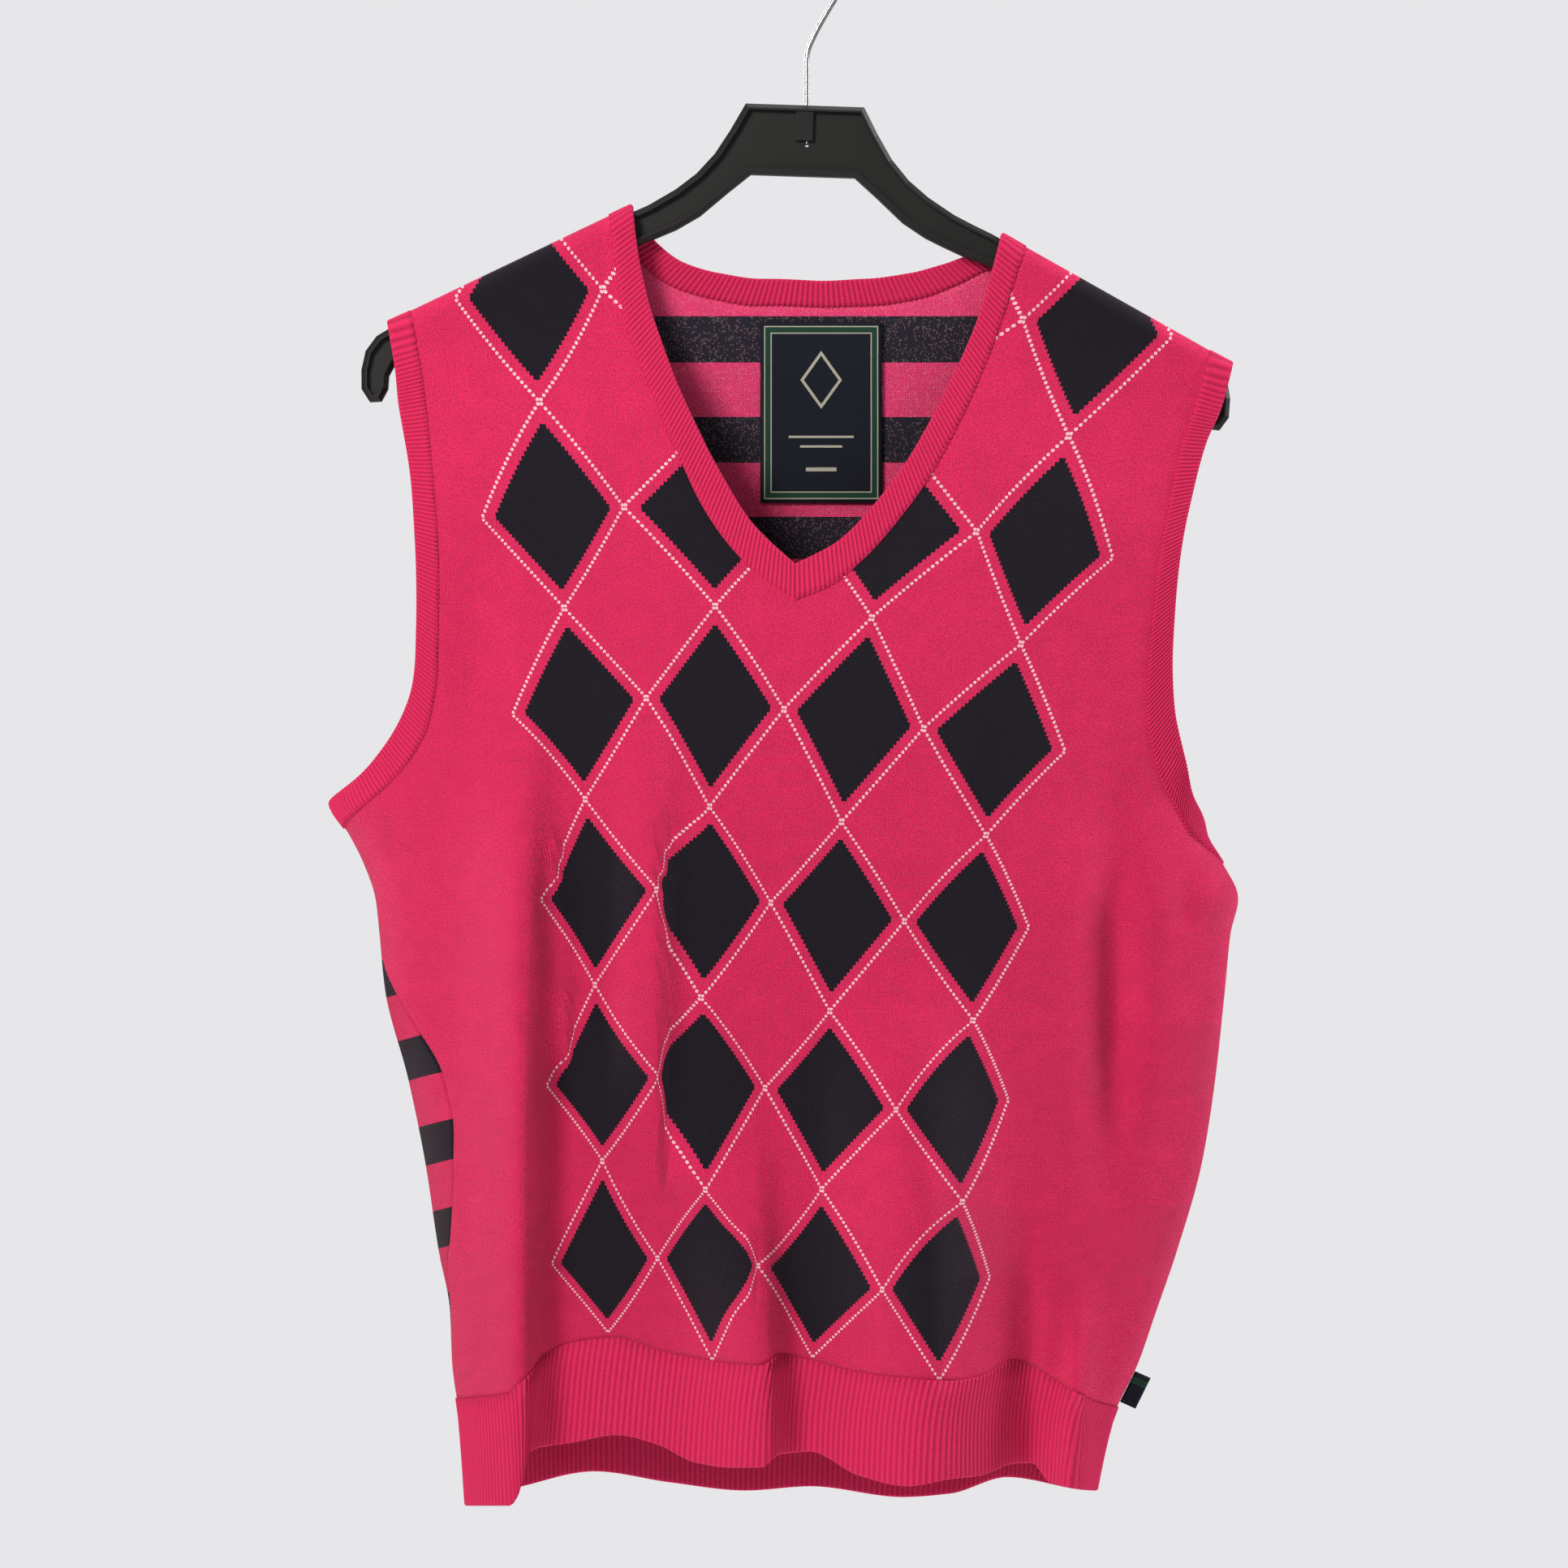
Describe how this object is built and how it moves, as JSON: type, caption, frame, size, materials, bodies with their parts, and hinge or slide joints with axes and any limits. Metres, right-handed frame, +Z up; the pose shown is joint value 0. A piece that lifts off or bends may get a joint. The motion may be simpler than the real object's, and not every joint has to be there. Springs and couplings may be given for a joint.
{
  "type": "knitted sweater vest on a hanger",
  "caption": "Sleeveless V-neck knitted vest with ribbed neck, armholes and hem, hanging on a moulded plastic hanger with a wire hook.",
  "frame": {"origin": "inside top of the hanger's hook, where a rail bears", "axes": "+Z up along the hook's stem, +X to the right seen from the front, the front of the vest faces -Y"},
  "size_m": [0.4746, 0.1543, 0.8373],
  "materials": {
    "front_knit": "fine wool jersey, argyle of navy lozenges on pink with dotted pale diagonals",
    "back_knit": "fine wool jersey, pink with navy stripes across",
    "rib_knit": "fine wool rib",
    "woven_label": "woven label",
    "hanger_plastic": "satin moulded plastic",
    "hook_steel": "bright drawn wire"
  },
  "bodies": {
    "root": {"front_panel": "front_knit", "back_panel": "back_knit", "hem_rib_front": "rib_knit", "hem_rib_back": "rib_knit", "neck_band_left": "rib_knit", "neck_band_right": "rib_knit", "neck_band_back": "rib_knit", "armhole_band_left": "rib_knit", "armhole_band_right": "rib_knit", "neck_label": "woven_label", "side_tag": "woven_label", "hanger_body": "hanger_plastic", "hanger_hook": "hook_steel"}
  },
  "joints": []
}
